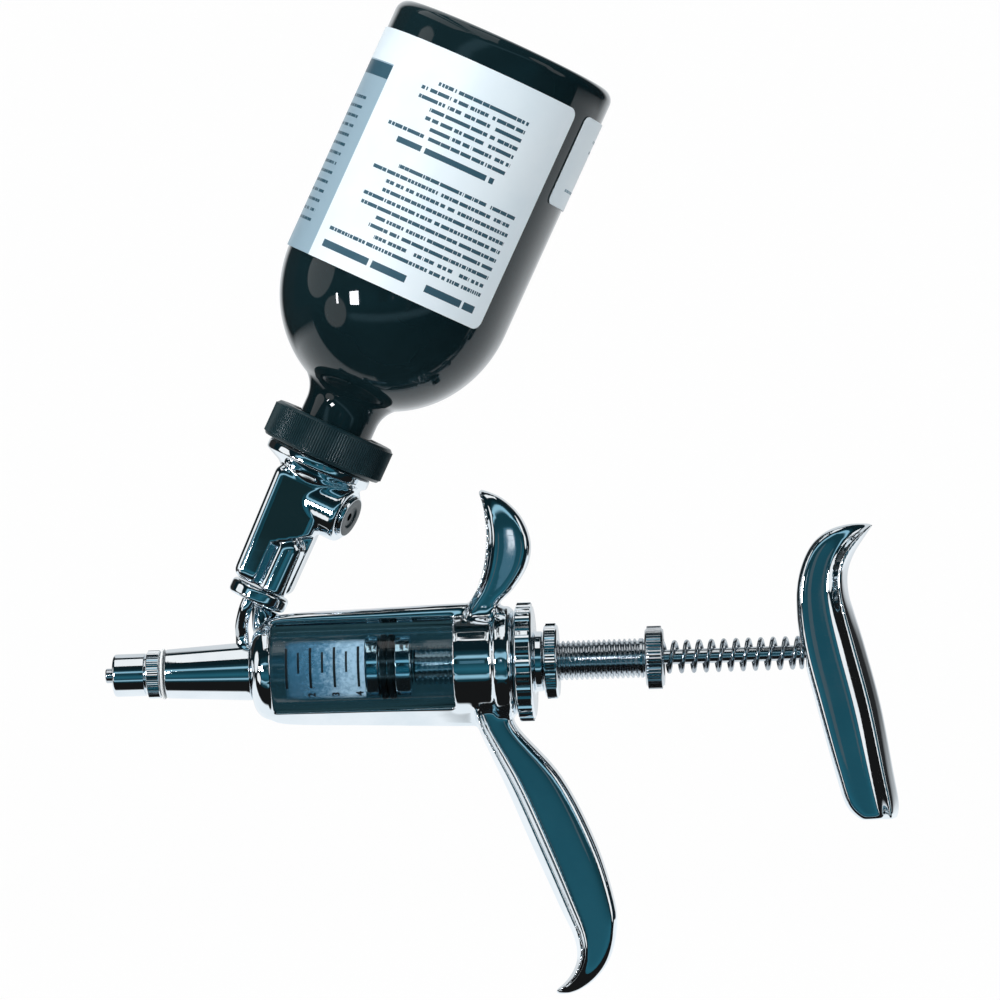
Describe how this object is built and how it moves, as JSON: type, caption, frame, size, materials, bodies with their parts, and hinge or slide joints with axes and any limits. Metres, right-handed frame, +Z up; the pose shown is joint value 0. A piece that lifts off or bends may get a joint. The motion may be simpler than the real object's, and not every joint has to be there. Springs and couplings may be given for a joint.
{
  "type": "automatic vaccinator",
  "caption": "Spring-returned repeating syringe for livestock with a graduated glass barrel, palm handle and upturned vaccine bottle.",
  "frame": {"origin": "on the barrel's axis, in the middle of the frame's rear collar", "axes": "+X along the barrel from the nozzle to the palm handle, +Z up towards the bottle, -Y out of the window"},
  "size_m": [0.1776, 0.0533, 0.2236],
  "materials": {
    "chrome": "polished",
    "steel": "drawn",
    "aluminium": "satin",
    "clear_glass": "clear",
    "dark_glass": "clear",
    "black_plastic": "satin",
    "black_rubber": "matte",
    "grey_rubber": "matte",
    "white_plastic": "satin",
    "white_paper": "semi-gloss paper"
  },
  "bodies": {
    "frame": {"frame_casting": "chrome", "valve_body": "chrome", "front_barrel_seal": "black_rubber", "glass_barrel": "clear_glass", "rear_barrel_seal": "black_rubber", "barrel_cap": "chrome", "nozzle_washer": "white_plastic", "needle_adapter": "steel", "delivery_spring": "steel", "feed_tube": "chrome", "elbow_foot": "chrome", "bottle_elbow": "chrome", "inlet_spring": "steel", "vent_plug": "chrome", "draw_off_spike": "steel", "air_needle": "steel", "grip_sleeve": "black_rubber", "bottle": "dark_glass", "stopper": "grey_rubber", "crimp_collar": "aluminium", "bottle_label": "white_paper", "side_label": "white_paper"},
    "delivery_valve": {"delivery_valve": "steel"},
    "inlet_valve": {"inlet_valve": "steel"},
    "vent_disc": {"vent_disc": "black_rubber"},
    "needle_nut": {"needle_nut": "chrome"},
    "bottle_ring": {"bottle_ring": "black_plastic"},
    "lock_nut": {"lock_nut": "chrome"},
    "spring_seat": {"spring_washer": "steel", "main_spring": "steel"},
    "dose_sleeve": {"dose_sleeve": "chrome"},
    "plunger": {"plunger_rod": "chrome", "piston": "chrome", "piston_ring_front": "black_rubber", "piston_ring_rear": "black_rubber", "palm_handle": "chrome"}
  },
  "joints": [
    {"name": "dose_adjust", "type": "slide", "parent": "frame", "child": "spring_seat", "axis": [1, 0, 0], "range_m": [0, 0.0054]},
    {"name": "dose_turn", "type": "hinge", "parent": "spring_seat", "child": "dose_sleeve", "pos_m": [0, 0, 0], "axis": [1, 0, 0], "range_deg": [0, 1695]},
    {"name": "plunger_slide", "type": "slide", "parent": "spring_seat", "child": "plunger", "axis": [-1, 0, 0], "range_m": [0, 0.0216], "stiffness_N_per_m": 1900, "springref_m": -0.003, "deforming": ["main_spring"]},
    {"name": "lock_nut_turn", "type": "hinge", "parent": "frame", "child": "lock_nut", "pos_m": [0, 0, 0], "axis": [1, 0, 0], "range_deg": [0, 90]},
    {"name": "needle_nut_turn", "type": "hinge", "parent": "frame", "child": "needle_nut", "pos_m": [0, 0, 0], "axis": [-1, 0, 0], "range_deg": [0, 90]},
    {"name": "bottle_ring_turn", "type": "hinge", "parent": "frame", "child": "bottle_ring", "pos_m": [-0.0499, 0, 0.019], "axis": [0.4478, 0, 0.8942], "range_deg": [0, 90]},
    {"name": "delivery_valve_lift", "type": "slide", "parent": "frame", "child": "delivery_valve", "axis": [-1, 0, 0], "range_m": [0, 0.001], "stiffness_N_per_m": 60, "springref_m": -0.002, "deforming": ["delivery_spring"]},
    {"name": "inlet_valve_lift", "type": "slide", "parent": "frame", "child": "inlet_valve", "axis": [-0.4478, 0, -0.8942], "range_m": [0, 0.001], "stiffness_N_per_m": 60, "springref_m": -0.002, "deforming": ["inlet_spring"]},
    {"name": "vent_disc_lift", "type": "slide", "parent": "frame", "child": "vent_disc", "axis": [-0.8637, 0.2588, 0.4325], "range_m": [0, 0.0006], "stiffness_N_per_m": 60, "springref_m": -0.001}
  ],
  "couplings": [
    {"joint": "dose_turn", "follows": "dose_adjust", "rad_per_m": 5463.6}
  ]
}
